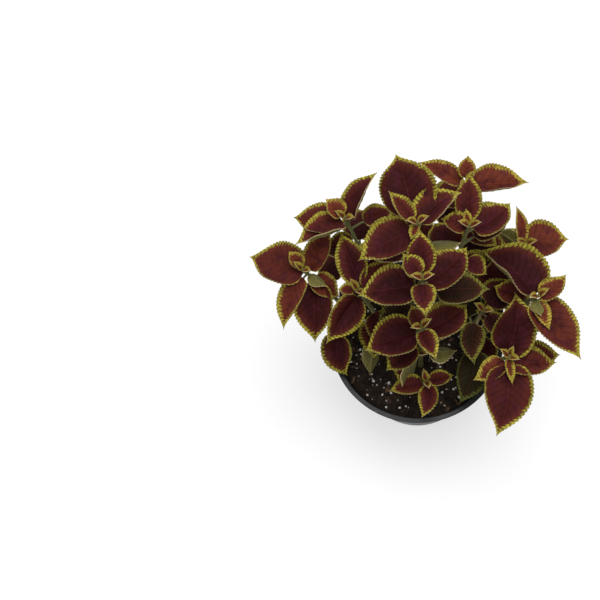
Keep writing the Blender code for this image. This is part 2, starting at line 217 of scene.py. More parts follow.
def bladeColour(tree, margin, tone, broad, dim, veinLine):
    colours, look = leafColours, bladeLook
    # burgundy, darker on leaves given painted shade, lighter and redder on young leaves and on
    # outer shoots given painted light, with purple patches
    blade = blendColour(tree, fade(tree, tone, *look["wineTone"]), colours["deep"],
                        colours["wine"])
    blade = blendColour(tree, fade(tree, tone, *look["emberTone"]), blade, colours["ember"])
    patch = fade(tree, grain(tree, 110.0, 1.0), *look["plumPatch"], 0.0, look["plumShare"])
    blade = blendColour(tree, patch, blade, colours["plum"])
    # warmer near the edge and deeper along the middle
    warm = calc(tree, "MULTIPLY", fade(tree, margin, *look["warmEdge"]),
                calc(tree, "MULTIPLY_ADD", broad, 1.1, 0.1))
    blade = blendColour(tree, calc(tree, "MULTIPLY", warm, look["warmShare"]), blade,
                        colours["ember"])
    deeper = calc(tree, "MULTIPLY", fade(tree, broad, *look["deepPatch"], 0.0, look["deepShare"]),
                  fade(tree, margin, *look["deepMiddle"]))
    blade = blendColour(tree, deeper, blade, colours["deep"])
    # leaves deep in the plant turn a dull brownish green: greener as shade-grown leaves are, and
    # darker as painted shade
    blade = blendColour(tree, calc(tree, "MULTIPLY", dim, look["dimShare"]), blade,
                        colours["shade"])
    # side veins are thin and a little darker, the midrib is a fine paler line
    blade = blendColour(tree, calc(tree, "MULTIPLY", veinLine, look["veinShare"]), blade,
                        colours["vein"])
    ribLine = fade(tree, measured(tree, "ribPlace"), *look["ribEdge"])
    return blendColour(tree, calc(tree, "MULTIPLY", ribLine, look["ribShare"]), blade,
                       colours["rib"])


def limeBand(tree, margin, broad, fine):
    # how much of the lime shows: ragged inwards like a comb, cut by burgundy at each notch
    look = limeLook
    tooth = measured(tree, "toothPlace")
    comb = calc(tree, "COSINE", calc(tree, "MULTIPLY", tooth, 2 * math.pi))
    fineComb = calc(tree, "MULTIPLY_ADD", tooth, look["fineCombs"] * 2 * math.pi,
                    calc(tree, "MULTIPLY", broad, look["combWander"]))
    fineComb = calc(tree, "COSINE", fineComb)
    edge = calc(tree, "MULTIPLY_ADD", comb, look["combDepth"], margin)
    edge = calc(tree, "MULTIPLY_ADD", fineComb, look["combDepth"], edge)
    edge = calc(tree, "ADD", edge, ragged(tree, fine, look["fineRag"]))
    uneven = grain(tree, 230.0, 2.0)
    edge = calc(tree, "ADD", edge, ragged(tree, uneven, look["broadRag"]))
    lime = fade(tree, edge, *look["bandEnd"])
    notch = calc(tree, "MULTIPLY", fade(tree, fromMiddle(tree, tooth), *look["notchSide"]),
                 fade(tree, margin, *look["notchMouth"]))
    notch = calc(tree, "MULTIPLY", notch,
                 fade(tree, uneven, *look["notchPatch"], look["faintNotch"], 1.0))
    return calc(tree, "MULTIPLY", lime,
                calc(tree, "MULTIPLY_ADD", notch, -look["notchDepth"], 1.0))


def limeColour(tree, tone, fine, dim):
    colours, look = leafColours, limeLook
    colour = blendColour(tree, fade(tree, fine, *look["limePatch"]), colours["olive"],
                         colours["lime"])
    golden = calc(tree, "MULTIPLY", fade(tree, tone, *look["goldTone"]), look["goldShare"])
    colour = blendColour(tree, golden, colour, colours["gold"])
    # the lime of such leaves dulls to a dark olive, partly painted shade
    return blendColour(tree, calc(tree, "MULTIPLY", dim, look["dimShare"]), colour,
                       colours["shadeEdge"])


def leafTopMaterial():
    material, tree, shader = newMaterial("velvetLeafTop", roughness=0.62, sheen=0.015,
                                         sheenTint=(1.0, 0.70, 0.65), sheenRoughness=0.3,
                                         specular=0.06)
    margin = measured(tree, "marginPlace")
    tone = measured(tree, "leafTone")
    fine = grain(tree, 900.0, 3.0)
    broad = grain(tree, 75.0, 2.0)
    # how much painted shade a leaf gets, together with its own duller green
    dim = fade(tree, tone, *bladeLook["dimTone"])
    veinLine = fade(tree, fromMiddle(tree, measured(tree, "veinPlace")),
                    bladeLook["veinWidth"], 0.0)
    blade = bladeColour(tree, margin, tone, broad, dim, veinLine)
    colour = blendColour(tree, limeBand(tree, margin, broad, fine), blade,
                         limeColour(tree, tone, fine, dim))
    # velvety grain, with the side veins sunk into it
    relief = calc(tree, "MULTIPLY_ADD", veinLine, -0.7, fine)
    setSurface(tree, shader, colour, relief, 0.60, 0.0006)
    return material


def leafUnderMaterial():
    colours = leafColours
    material, tree, shader = newMaterial("leafUnderside", roughness=0.66, sheen=0.04,
                                         sheenTint=(0.9, 0.95, 0.8), specular=0.25)
    margin = measured(tree, "marginPlace")
    broad = grain(tree, 60.0, 3.0)
    # raised pale veins on olive, blushed brown in patches
    line = calc(tree, "MAXIMUM",
                fade(tree, fromMiddle(tree, measured(tree, "veinPlace")), 0.08, 0.0),
                fade(tree, measured(tree, "ribPlace"), 1.0, 0.4))
    colour = blendColour(tree, fade(tree, broad, 0.35, 0.75, 0.0, 0.55), colours["under"],
                         colours["underBlush"])
    colour = blendColour(tree, fade(tree, margin, 1.2, 0.5, 0.0, 0.6), colour, colours["olive"])
    colour = blendColour(tree, calc(tree, "MULTIPLY", line, 0.6), colour, colours["underVein"])
    setSurface(tree, shader, colour, calc(tree, "ADD", line, grain(tree, 700.0)), 0.4, 0.0004)
    return material


def leafRimMaterial():
    material, tree, shader = newMaterial("leafRim", roughness=0.55, sheen=0.05,
                                         sheenTint=(1.0, 0.95, 0.8), specular=0.3)
    patch = grain(tree, 240.0, 2.0)
    colour = blendColour(tree, fade(tree, patch, 0.2, 0.5), leafColours["olive"],
                         leafColours["rim"])
    setSurface(tree, shader, colour, grain(tree, 1100.0), 0.25, 0.0003)
    return material


def stemMaterial():
    material, tree, shader = newMaterial("stemSkin", roughness=0.52, sheen=0.05,
                                         sheenTint=(0.95, 1.0, 0.85), specular=0.35)
    patch = grain(tree, 38.0, 3.0)
    # fine streaks that run up the stem
    streak = grain(tree, 160.0, 3.0, 0.6, (1.0, 1.0, 0.12))
    colour = blendColour(tree, fade(tree, patch, 0.4, 0.75, 0.0, 0.7), leafColours["stem"],
                         leafColours["stemBlush"])
    colour = blendColour(tree, fade(tree, streak, 0.5, 0.8, 0.0, 0.5), colour,
                         leafColours["stemStreak"])
    setSurface(tree, shader, colour, calc(tree, "ADD", streak, grain(tree, 1200.0)), 0.35, 0.0003)
    return material


leafFinishes = [leafTopMaterial(), leafUnderMaterial(), leafRimMaterial(), stemMaterial()]
topSlot, underSlot, rimSlot, stemSlot = range(4)
print("leaf finishes made")


# How much painted shade darkens a shaded stem's leaves, and single leaves by their place in the
# stem's list.
shadedStems = dict(right_inner=0.70, front_left=0.25, back=0.3)
paintedShadeLeaves = dict(right={0: 0.45}, right_front={0: 0.40}, left={4: 0.50},
                  left_inner={2: 0.20, 3: 0.25}, back_inner={2: 0.30}, left_back={0: 0.30})
# Leafy stems. foot is where a stem stands in the soil and top is its growing tip, in mm
# (top is given from the rim upwards). Each leaf is (mm below the top, heading, rise,
# stalk mm, blade length mm, blade width mm, roll, sweep, fold), and a short row ends in
# levelBlade. Sweep curves the midrib sideways, fold lifts each half from the midrib.
fullRow = 9
levelBlade = (0, 0, 10)
leafyStems = {
    "centre_back": dict(foot=(-4, 30), top=(1, 48, 165), leaves=(
        (22, 101, 18, 18, 57, 50, 0, 8),
        (12, -156, 5, 5, 51, 38, 0, 10),
        (10, 58, 12, 5, 45, 32, -15, -40),
        (6, 134, 32, 7, 31, 16),
        (44, 6, 5, 14, 26, 17, 150),
        (52, 172, 8, 10, 42, 34),
        (78, 118, -6, 10, 38, 30),
        (4, -110, 15, 2, 14, 9))),
    "centre": dict(foot=(2, 4), top=(5, 0, 160), leaves=(
        (10, 92, 28, 8, 36, 25),
        (6, 129, 30, 6, 22, 19),
        (20, 28, 12, 6, 46, 34, 0, 30),
        (24, -177, 5, 6, 48, 39, 0, 8),
        (9, -85, 18, 4, 29, 21),
        (46, 11, 0, 14, 47, 32, 0, -8),
        (72, -152, -5, 8, 38, 32),
        (84, 60, -12, 10, 40, 30))),
    "centre_front": dict(foot=(4, -22), top=(4, -25, 112), leaves=(
        (6, 115, 30, 3, 19, 17),
        (18, -166, 5, 5, 47, 39, 0, 10),
        (14, 16, 5, 6, 43, 33, 0, 38),
        (6, -67, 20, 4, 30, 18),
        (44, -140, -5, 8, 34, 28),
        (46, 40, -5, 8, 34, 28))),
    "left_inner": dict(foot=(-30, 8), top=(-52, 13, 100), leaves=(
        (8, 38, 10, 5, 40, 27, 0, 20),
        (4, 180, 20, 5, 14, 12),
        (10, -129, -5, 4, 50, 32, -30, 8, 25),
        (12, 109, 20, 12, 49, 28),
        (38, -60, -10, 8, 40, 30),
        (42, 128, -14, 8, 36, 28),
        (74, -100, -20, 20, 34, 20, 150),
        (60, -92, -6, 6, 36, 30))),
    "left_back": dict(foot=(-34, 40), top=(-63, 75, 118), leaves=(
        (10, 69, 40, 7, 48, 27, -25, -30, 20),
        (8, -157, 8, 4, 47, 36, 25, 0, 20),
        (14, 168, 5, 12, 42, 32),
        (16, 28, 0, 14, 31, 22),
        (4, 139, 32, 6, 21, 19),
        (44, 95, -10, 10, 42, 32),
        (50, -50, -5, 10, 38, 28),
        (36, -178, -14, 4, 32, 26))),
    "left": dict(foot=(-52, 14), top=(-104, 41, 80), leaves=(
        (8, 60, 25, 4, 45, 25, 0, 8),
        (9, 161, 5, 5, 56, 44),
        (8, -131, -8, 6, 52, 24, 0, 38),
        (6, 133, 28, 8, 18, 15),
        (16, -89, -15, 4, 56, 39),
        (70, -106, -12, 27, 42, 30, 0, 62),
        (48, 98, -10, 16, 40, 26),
        (14, -34, -4, 2, 30, 24),
        (8, -38, 12, 3, 20, 14, 150),
        (52, 12, -6, 3, 38, 30))),
    "front": dict(foot=(8, -46), top=(9, -51, 32), leaves=(
        (8, -165, 10, 4, 32, 20),
        (6, -78, 10, 5, 31, 19, 0, -45),
        (9, 16, 5, 4, 23, 16))),
    "right_inner": dict(foot=(44, -2), top=(61, 8, 62), leaves=(
        (7, -113, 5, 14, 38, 23, 0, 40),
        (7, 46, 15, 10, 33, 31),
        (7, -43, 0, 6, 28, 22),
        (26, -90, -6, 30, 50, 30, 0, -38),
        (34, 105, -5, 10, 40, 32))),
    "right_front": dict(foot=(48, -30), top=(82, -38, 66), leaves=(
        (9, 60, 38, 6, 56, 39, 0, 42),
        (7, -83, 5, 8, 65, 43, 0, -34),
        (8, -130, 10, 3, 33, 21, 0, -30),
        (8, -18, 10, 5, 41, 30, 0, 28),
        (34, 8, -5, 28, 40, 27),
        (3, -85, 18, 2, 25, 9),
        (3, 62, 60, 2, 12, 6),
        (46, 82, -5, 3, 30, 26))),
    "right": dict(foot=(62, 6), top=(106, 10, 92), leaves=(
        (7, 115, 5, 3, 65, 51, 20, 38, 25),
        (8, -53, 0, 3, 64, 37, 0, 0),
        (5, 14, 30, 4, 30, 20, 0, 42),
        (6, -70, 10, 4, 29, 15),
        (16, 150, 0, 4, 30, 26),
        (44, -20, -10, 10, 28, 24),
        (6, -80, 25, 4, 18, 12, 165),
        (52, 165, -6, 3, 26, 28),
        (49, 65, -6, 3, 34, 30))),
    "right_back": dict(foot=(50, 40), top=(99, 65, 80), leaves=(
        (7, 88, 35, 6, 33, 12, 0, 26),
        (6, 15, 10, 4, 38, 38, 0, -14),
        (7, 140, 0, 5, 22, 18, 110),
        (10, -27, -10, 6, 20, 16),
        (40, 60, -5, 10, 44, 34),
        (44, 175, -5, 6, 40, 34),
        (32, -128, 0, 4, 36, 32))),
    "back_right": dict(foot=(26, 58), top=(44, 101, 132), leaves=(
        (8, 139, 10, 6, 43, 20, 0, 20),
        (6, 85, 32, 8, 20, 16),
        (7, 6, 5, 5, 51, 32, -8, 0, 22),
        (44, 95, -5, 10, 42, 34),
        (48, -30, -5, 8, 36, 28),
        (72, -8, 8, 6, 46, 36),
        (62, 100, 2, 5, 38, 32))),
    "back_inner": dict(foot=(24, 30), top=(45, 56, 140), leaves=(
        (12, 86, 20, 12, 42, 24),
        (7, 150, 15, 2, 23, 21, 0, 15),
        (11, 25, 5, 7, 42, 31, 0, 28),
        (40, -45, -5, 10, 22, 20, 0, 20),
        (44, 121, -5, 7, 36, 32),
        (4, 100, 40, 3, 14, 8),
        (30, 35, 0, 14, 38, 26),
        (62, 12, -4, 8, 30, 22))),
    "front_left": dict(foot=(-6, -38), top=(2, -27, 46), leaves=(
        (6, -118, -12, 6, 27, 28, 40, 0, 50),
        (7, 8, 0, 11, 26, 20, 150))),
    "back": dict(foot=(-10, 60), top=(-12, 80, 62), leaves=(
        (8, 85, 5, 8, 42, 34),
        (8, 175, 10, 6, 34, 26),
        (9, 22, 10, 6, 34, 28),
        (30, 130, -10, 10, 38, 30),
        (32, 40, -10, 10, 36, 28))),
}

stemShape = dict(belowRim=0.0115, depth=0.018, footHalf=0.0024, topHalf=0.0012, steps=36,
                 elbow=(0.35, 0.35, 0.6), sides=16, cornerRound=0.72, tipLength=0.0008,
                 nodes=5, nodeSwell=0.16, nodePower=6)
budShape = dict(turns=(90, 270), below=2, rise=55, stalk=2, length=12, width=7)
# outline of a blade: belly moves its widest place, tipDraw draws out its tip
leafShape = dict(belly=0.66, blunt=0.48, tipDraw=0.95, neck=0.0015, leastHalf=0.00012,
                 stationsPerTooth=4, bend=20.0, twist=6, twistFrom=0.3, foldSwing=2, bulge=0.24,
                 thickness=0.0006, rimThickness=0.0009, rimPower=8)
toothShape = dict(fewest=5, start=3, perMm=0.31, depth=0.066, lean=0.10, roundness=0.75,
                  edgePower=6, slip=0.35, slipFrom=0.4)
veinShape = dict(fewest=4, start=3, perMm=0.1, lean=0.24, leanPower=1.1, quilt=0.00045,
                 quiltPowers=(0.6, 5), quiltLength=40, groove=0.00045, grooveWidth=0.0007)
marginShape = dict(turn=2.30, turnFrom=0.72, turnPower=0.8, steep=(1.05, 1.30),
                   gentle=(0.40, 0.80), plantRadius=0.11, ripple=0.045, ripples=2.2,
                   ripplePower=2.5)
# width of the lime margin in mm: at the stalk, what the blade adds and what its tip adds
limeShape = dict(width=2.3, gain=1.0, tipGain=2.5, tipFrom=0.72, tipRun=0.28, tipPower=1.5,
                 share=(0.8, 1.2), small=0.72, growth=0.28, fullLength=45, innerSide=0.72,
                 outerSide=1.12, tipShare=0.55, leastGap=0.01)
stalkShape = dict(radius=0.0011, lift=25.0, steps=6, sides=8, slender=0.45, growth=0.55,
                  fullLength=35, footTaper=1.15, endTaper=0.28, ribReach=0.85)
# tone of a leaf: outward is painted light on the outer shoots, below is painted shade on the lower
# leaves, short reddens small young leaves and swing varies it at random
leafTones = dict(stem=0.5, bud=0.9, middle=0.50, outward=0.0040, below=0.010, short=0.004,
                 usualLength=30, swing=0.12)
# places across a half blade, close together at the midrib and at the edge
acrossPlaces = (0.0, 0.05, 0.12, 0.25, 0.40, 0.55, 0.70, 0.83, 0.93, 0.98, 1.0)


def pointing(heading, rise):
    heading, rise = np.radians(heading), np.radians(rise)
    return np.stack([np.cos(rise) * np.cos(heading), np.cos(rise) * np.sin(heading),
                     np.sin(rise)], -1)


def walkPath(start, heading, rise, bend, sweep, length, steps):
    middles = (np.arange(steps) + 0.5) / steps
    moves = pointing(heading + sweep * middles, rise - bend * middles) * (length / steps)
    return np.vstack([start, start + np.cumsum(moves, axis=0)])


def stemPath(stem):
    shape = stemShape
    soilTop = rimHeight - shape["belowRim"]
    foot = np.array([stem["foot"][0] * mm, stem["foot"][1] * mm, soilTop])
    top = np.array([stem["top"][0] * mm, stem["top"][1] * mm, rimHeight + stem["top"][2] * mm])
    middle = foot + (top - foot) * np.array(shape["elbow"])
    t = np.linspace(0.0, 1.0, shape["steps"] + 1)[:, None]
    curve = (1 - t) ** 2 * foot + 2 * t * (1 - t) * middle + t ** 2 * top
    return np.vstack([foot - np.array([0.0, 0.0, shape["depth"]]), curve])


def pointBelowTop(path, distance):
    down = path[::-1]
    runs = np.concatenate([[0.0], np.cumsum(np.linalg.norm(np.diff(down, axis=0), axis=1))])
    return np.array([np.interp(distance, runs, down[:, k]) for k in range(3)])


class MeshParts:
    # gathers the points, faces and point measures of one leafy stem
    def __init__(self):
        self.points, self.faces, self.slots = [], [], []
        self.measures = {name: [] for name in
                         ("marginPlace", "toothPlace", "veinPlace", "ribPlace", "leafTone")}
        self.count = 0

    def add(self, points, faces, slot, **measures):
        # a measure that isn't given is 0, and a single number goes to every point
        points = points.reshape(-1, 3)
        self.points.append(points)
        self.faces.append(np.array(faces) + self.count)
        self.slots += [slot] * len(faces)
        for name, values in self.measures.items():
            values.append(np.broadcast_to(np.ravel(measures.get(name, 0.0)), len(points)))
        self.count += len(points)

    def build(self, name, finishes):
        mesh = newMesh(name, np.vstack(self.points).tolist(), np.vstack(self.faces).tolist())
        for finish in finishes:
            mesh.materials.append(finish)
        mesh.polygons.foreach_set("material_index", self.slots)
        for measure, values in self.measures.items():
            layer = mesh.attributes.new(measure, "FLOAT", "POINT")
            layer.data.foreach_set("value", np.concatenate(values).astype(np.float32))
        mesh.update()
        return addObject(name, mesh)


def gridFaces(rows, columns, flip=False, closed=False):
    faces = []
    last = columns if closed else columns - 1
    for i in range(rows - 1):
        for j in range(last):
            k = (j + 1) % columns
            quad = (i * columns + j, i * columns + k, (i + 1) * columns + k, (i + 1) * columns + j)
            faces.append(quad[::-1] if flip else quad)
    return faces


def addTube(parts, centres, radii, across, up, sides, tone):
    # a round stalk along its centres
    angles = np.linspace(0.0, 2 * np.pi, sides, endpoint=False)
    rings = [centre + radius * (np.cos(angles)[:, None] * side + np.sin(angles)[:, None] * high)
             for centre, radius, side, high in zip(centres, radii, across, up)]
    parts.add(np.vstack(rings), gridFaces(len(rings), sides, closed=True), stemSlot,
              leafTone=tone)


def addStem(parts, path, tone):
    # square stem with rounded corners and a slight swelling at each pair of leaves
    shape = stemShape
    angles = np.linspace(0.0, 2 * np.pi, shape["sides"], endpoint=False) + math.pi / shape["sides"]
    square = np.maximum(np.abs(np.cos(angles)), np.abs(np.sin(angles))) ** -shape["cornerRound"]
    ring = np.stack([np.cos(angles) * square, np.sin(angles) * square], -1)
    rings = []
    last = len(path) - 1
    for place, centre in enumerate(path):
        share = max(0.0, (place - 1) / (last - 1))
        half = shape["footHalf"] + (shape["topHalf"] - shape["footHalf"]) * share
        swell = max(0.0, math.cos(share * 2 * math.pi * shape["nodes"])) ** shape["nodePower"]
        half *= 1.0 + shape["nodeSwell"] * swell
        along = path[min(place + 1, last)] - path[max(place - 1, 0)]
        along = along / np.linalg.norm(along)
        across = np.cross((0.0, 1.0, 0.0), along)
        across = across / np.linalg.norm(across)
        other = np.cross(along, across)
        rings.append(centre + half * (ring[:, :1] * across + ring[:, 1:] * other))
    rings.append(np.repeat(path[-1][None, :] + along * shape["tipLength"], len(ring), 0))
    parts.add(np.vstack(rings), gridFaces(len(rings), len(ring), closed=True), stemSlot,
              leafTone=tone)


# In the next functions t runs along a blade from its stalk to its tip, places run across it
# from -1 to 1, size is their distance from the midrib and half is the half width in metres.

def halfWidth(t, width):
    shape = leafShape
    arch = np.sin(np.pi * t ** shape["belly"])
    half = 0.5 * width * arch ** (shape["blunt"] + shape["tipDraw"] * t ** 2)
    return np.maximum(half, shape["neck"] * (1 - t) ** 2 + shape["leastHalf"])[:, None]


def countAlong(shape, length):
    # how many teeth or side veins a blade of this length has
    return max(shape["fewest"], round(shape["start"] + length * shape["perMm"]))


def bladeAxes(t, heading, rise, roll, sweep, chance):
    # directions along the midrib, across the blade and up from its face
    shape = leafShape
    headings = heading + sweep * t
    along = pointing(headings, rise - shape["bend"] * t)
    turned = np.radians(headings)
    flat = np.stack([np.sin(turned), -np.cos(turned), np.zeros(len(t))], -1)
    twist = chance.uniform(-shape["twist"], shape["twist"]) * (t - shape["twistFrom"])
    twist = np.radians(roll + twist)[:, None]
    across = flat * np.cos(twist) + np.cross(along, flat) * np.sin(twist)
    return along, across, np.cross(across, along)


def scallops(t, size, teeth):
    # rounded teeth that lean towards the tip: their count so far, how much of the half width
    # is left, and how far the edge slips along the blade as a share of its length
    shape = toothShape
    phase = (t * teeth)[:, None]
    swell = np.abs(np.sin(np.pi * (phase + shape["lean"] * np.sin(2 * np.pi * phase))))
    swell = swell ** shape["roundness"]
    nearEdge = size ** shape["edgePower"]
    left = 1.0 - shape["depth"] * (1.0 - swell) * nearEdge
    slip = (shape["slip"] / teeth) * (swell - shape["slipFrom"]) * nearEdge
    return phase, left, slip * np.sin(np.pi * t)[:, None]


def upturn(t, size, half, innerSide, chance):
    # the margin turns upwards, most on the inner side
    shape = marginShape
    steep, gentle = chance.uniform(*shape["steep"]), chance.uniform(*shape["gentle"])
    start = shape["turnFrom"]
    turn = np.where(innerSide, steep, gentle)[None, :] * shape["turn"]
    turn = turn * np.maximum(size - start, 0.0) ** 2 / (2 - 2 * start)
    return half * turn * np.sin(np.pi * t ** shape["turnPower"])[:, None]


def sideVeins(t, size, length):
    # counts the side veins, which lean towards the tip and lie where the count ends in a half
    shape = veinShape
    veins = countAlong(shape, length)
    return veins * (t[:, None] - shape["lean"] * size ** shape["leanPower"]) + 0.5


def quilting(veinPlace, size, length):
    # the blade puffs up between its side veins
    shape = veinShape
    fromRib, toEdge = shape["quiltPowers"]
    puff = np.cos(2 * np.pi * veinPlace) * (size ** fromRib) * (1 - size ** toEdge)
    return shape["quilt"] * puff * min(1.0, length / shape["quiltLength"])


def rippling(t, places, size, half, chance):
    # a slow wave along each side's margin
    shape = marginShape
    starts = np.where(places > 0, chance.random(), chance.random())[None, :]
    wave = np.sin(2 * np.pi * (shape["ripples"] * t[:, None] + starts))
    wave = shape["ripple"] * half * wave * size ** shape["ripplePower"]
    return wave * np.sin(np.pi * t)[:, None]


def limeWidth(t, length, innerSide, chance):
    # in mm: wider towards the tip, narrower on small leaves and on the inner side
    shape = limeShape
    share = chance.uniform(*shape["share"])
    tip = np.clip((t - shape["tipFrom"]) / shape["tipRun"], 0, 1) ** shape["tipPower"]
    width = (shape["width"] + shape["gain"] * t + shape["tipGain"] * tip)[:, None]
    grown = shape["small"] + shape["growth"] * min(1.0, length / shape["fullLength"])
    return width * share * grown * np.where(innerSide, shape["innerSide"],
                                            shape["outerSide"])[None, :]


def addRim(parts, upper, lower, tone):
    # the blade's thin edge, from its upper to its lower face
    rows, columns = upper.shape[:2]
    loop = [(i, columns - 1) for i in range(rows)]
    loop += [(rows - 1, j) for j in range(columns - 2, -1, -1)]
    loop += [(i, 0) for i in range(rows - 2, -1, -1)]
    edgeRows, edgeColumns = np.array(loop).T
    count = len(loop)
    faces = [(k, k + count, k + count + 1, k + 1) for k in range(count - 1)]
    edges = np.vstack([upper[edgeRows, edgeColumns], lower[edgeRows, edgeColumns]])
    parts.add(edges, faces, rimSlot, leafTone=tone)


def addStalk(parts, stalkPoints, rib, across, up, length, tone):
    # the stalk runs on as the raised midrib of the underside
    shape = stalkShape
    before = len(stalkPoints) - 1
    ribEnd = int(len(rib) * shape["ribReach"])
    grown = shape["slender"] + shape["growth"] * min(1.0, length / shape["fullLength"])
    radii = shape["radius"] * grown * np.concatenate(
        [np.linspace(shape["footTaper"], 1.0, before), np.linspace(1.0, shape["endTaper"], ribEnd)])
    sides = np.vstack([np.repeat(across[:1], before, 0), across[:ribEnd]])
    highs = np.vstack([np.repeat(up[:1], before, 0), up[:ribEnd]])
    sink = np.concatenate([np.zeros(before), np.ones(ribEnd)]) * (radii + veinShape["groove"])
    centres = np.vstack([stalkPoints[:-1], rib[:ribEnd]]) - highs * sink[:, None]
    addTube(parts, centres, radii, sides, highs, shape["sides"], tone)


def addLeaf(parts, path, leaf, chance, tone):
    missing = fullRow - len(leaf)
    leaf = leaf + levelBlade[len(levelBlade) - missing:]
    below, heading, rise, stalk, length, width, roll, sweep, fold = leaf
    shape = leafShape
    stalkLift = stalkShape["lift"]
    stalkPoints = walkPath(pointBelowTop(path, below * mm), heading, rise + stalkLift, stalkLift,
                           0, stalk * mm, stalkShape["steps"])
    teeth = countAlong(toothShape, length)
    rows = teeth * shape["stationsPerTooth"] + 1
    t = np.linspace(0.0, 1.0, rows)
    rib = walkPath(stalkPoints[-1], heading, rise, shape["bend"], sweep, length * mm, rows - 1)
    along, across, up = bladeAxes(t, heading, rise, roll, sweep, chance)

    places = np.array([-p for p in acrossPlaces[:0:-1]] + list(acrossPlaces))
    size = np.abs(places)[None, :]
    half = halfWidth(t, width * mm)
    toothPlace, left, slip = scallops(t, size, teeth)
    reach = half * size * left
    foldAngle = math.radians(fold + chance.uniform(-shape["foldSwing"], shape["foldSwing"]))
    out = reach * math.cos(foldAngle) * np.sign(places)
    # the inner side is the one that faces the front or the plant's middle
    outward = path[-1][:2] / marginShape["plantRadius"]
    inner = np.dot(across[rows // 2][:2], np.array([0.0, -1.0]) - outward) > 0
    innerSide = (places > 0) == inner
    veinPlace = sideVeins(t, size, length)
    # height of the blade over its midrib
    lift = reach * math.sin(foldAngle)
    lift = lift + half * shape["bulge"] * size * (1 - size)
    lift = lift + upturn(t, size, half, innerSide, chance)
    lift = lift + quilting(veinPlace, size, length)
    lift = lift - veinShape["groove"] * np.exp(-(reach / veinShape["grooveWidth"]) ** 2)
    lift = lift + rippling(t, places, size, half, chance)

    upper = (rib[:, None, :] + across[:, None, :] * out[:, :, None]
             + up[:, None, :] * lift[:, :, None]
             + along[:, None, :] * (slip * length * mm)[:, :, None])
    rimExtra = (shape["rimThickness"] - shape["thickness"]) * size ** shape["rimPower"]
    thick = np.broadcast_to(shape["thickness"] + rimExtra, out.shape)
    lower = upper - up[:, None, :] * thick[:, :, None]

    # distance from the edge in mm, and from the tip too
    gap = (1.0 - size) * half * inMm
    tipGap = (1.0 - t) * length * limeShape["tipShare"] + limeShape["leastGap"]
    gap = np.minimum(gap, tipGap[:, None])
    measures = dict(marginPlace=gap / limeWidth(t, length, innerSide, chance),
                    toothPlace=np.broadcast_to(toothPlace, out.shape), veinPlace=veinPlace,
                    ribPlace=reach * inMm, leafTone=tone)
    parts.add(upper, gridFaces(*out.shape), topSlot, **measures)
    parts.add(lower, gridFaces(*out.shape, flip=True), underSlot, **measures)
    addRim(parts, upper, lower, tone)
    addStalk(parts, stalkPoints, rib, across, up, length, tone)


def makeLeafyStem(name, stem, seed):
    node = "leafy_stem_" + name
    chance = random.Random(seed)
    path = stemPath(stem)
    parts = MeshParts()
    tones = leafTones
    addStem(parts, path, tones["stem"])
    outward = math.hypot(stem["top"][0], stem["top"][1])
    for place, leaf in enumerate(stem["leaves"]):
        # painted shade darkens the lower leaves, painted light lightens and reddens the outer
        # shoots; small leaves are redder as they are young
        tone = tones["middle"] + tones["outward"] * outward - tones["below"] * leaf[0]
        tone += tones["short"] * (tones["usualLength"] - leaf[4])
        tone += chance.uniform(-tones["swing"], tones["swing"]) - shadedStems.get(name, 0.0)
        tone -= paintedShadeLeaves.get(name, {}).get(place, 0.0)
        addLeaf(parts, path, leaf, chance, tone)
    firstHeading = stem["leaves"][0][1]
    for turned in budShape["turns"]:
        bud = (budShape["below"], firstHeading + turned, budShape["rise"], budShape["stalk"],
               budShape["length"], budShape["width"])
        addLeaf(parts, path, bud, chance, tones["bud"])
    piece = parts.build("foliage_" + name, leafFinishes)
    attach(piece, "root")
    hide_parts(node)


for seed, (name, stem) in enumerate(leafyStems.items(), start=100):
    makeLeafyStem(name, stem, seed)
print("leafy stems grown")


# Pot

potShape = dict(sides=144, lipWidth=0.0048, lipHeight=0.0090, lipTaper=0.0016, wall=0.0016,
                rounding=0.0009, roundSteps=4, skirtRound=0.0005, skirtSteps=3, cove=0.0006,
                baseRadius=0.0580, baseThickness=0.0024, baseRound=0.0012, baseSteps=4,
                baseRings=(0.048, 0.034, 0.020, 0.0002), floorEdge=0.003, middleHeight=0.06,
                stepHeights=(0.074, 0.030), stepTop=(0.0003, 0.0008), stepFoot=(0.0002, 0.0004),
                drainCount=8, drainCircle=0.0440, drainRadius=0.0045, drainSides=32,
                drainDepth=0.02, sharpAngle=40)
potColours = dict(plastic=(0.0130, 0.0136, 0.0155), dust=(0.028, 0.028, 0.030),
                  scuff=(0.055, 0.054, 0.053))


def potInside(height):
    # radius of the pot's inside at a height
    shape = potShape
    top, bottom = rimRadius - shape["lipWidth"], shape["baseRadius"] - shape["wall"]
    return bottom + (top - bottom) * height / rimHeight


def roundCorner(centre, radius, fromAngle, toAngle, steps):
    return [(centre[0] + radius * math.cos(math.radians(a)),
             centre[1] + radius * math.sin(math.radians(a)))
            for a in np.linspace(fromAngle, toAngle, steps + 1)]


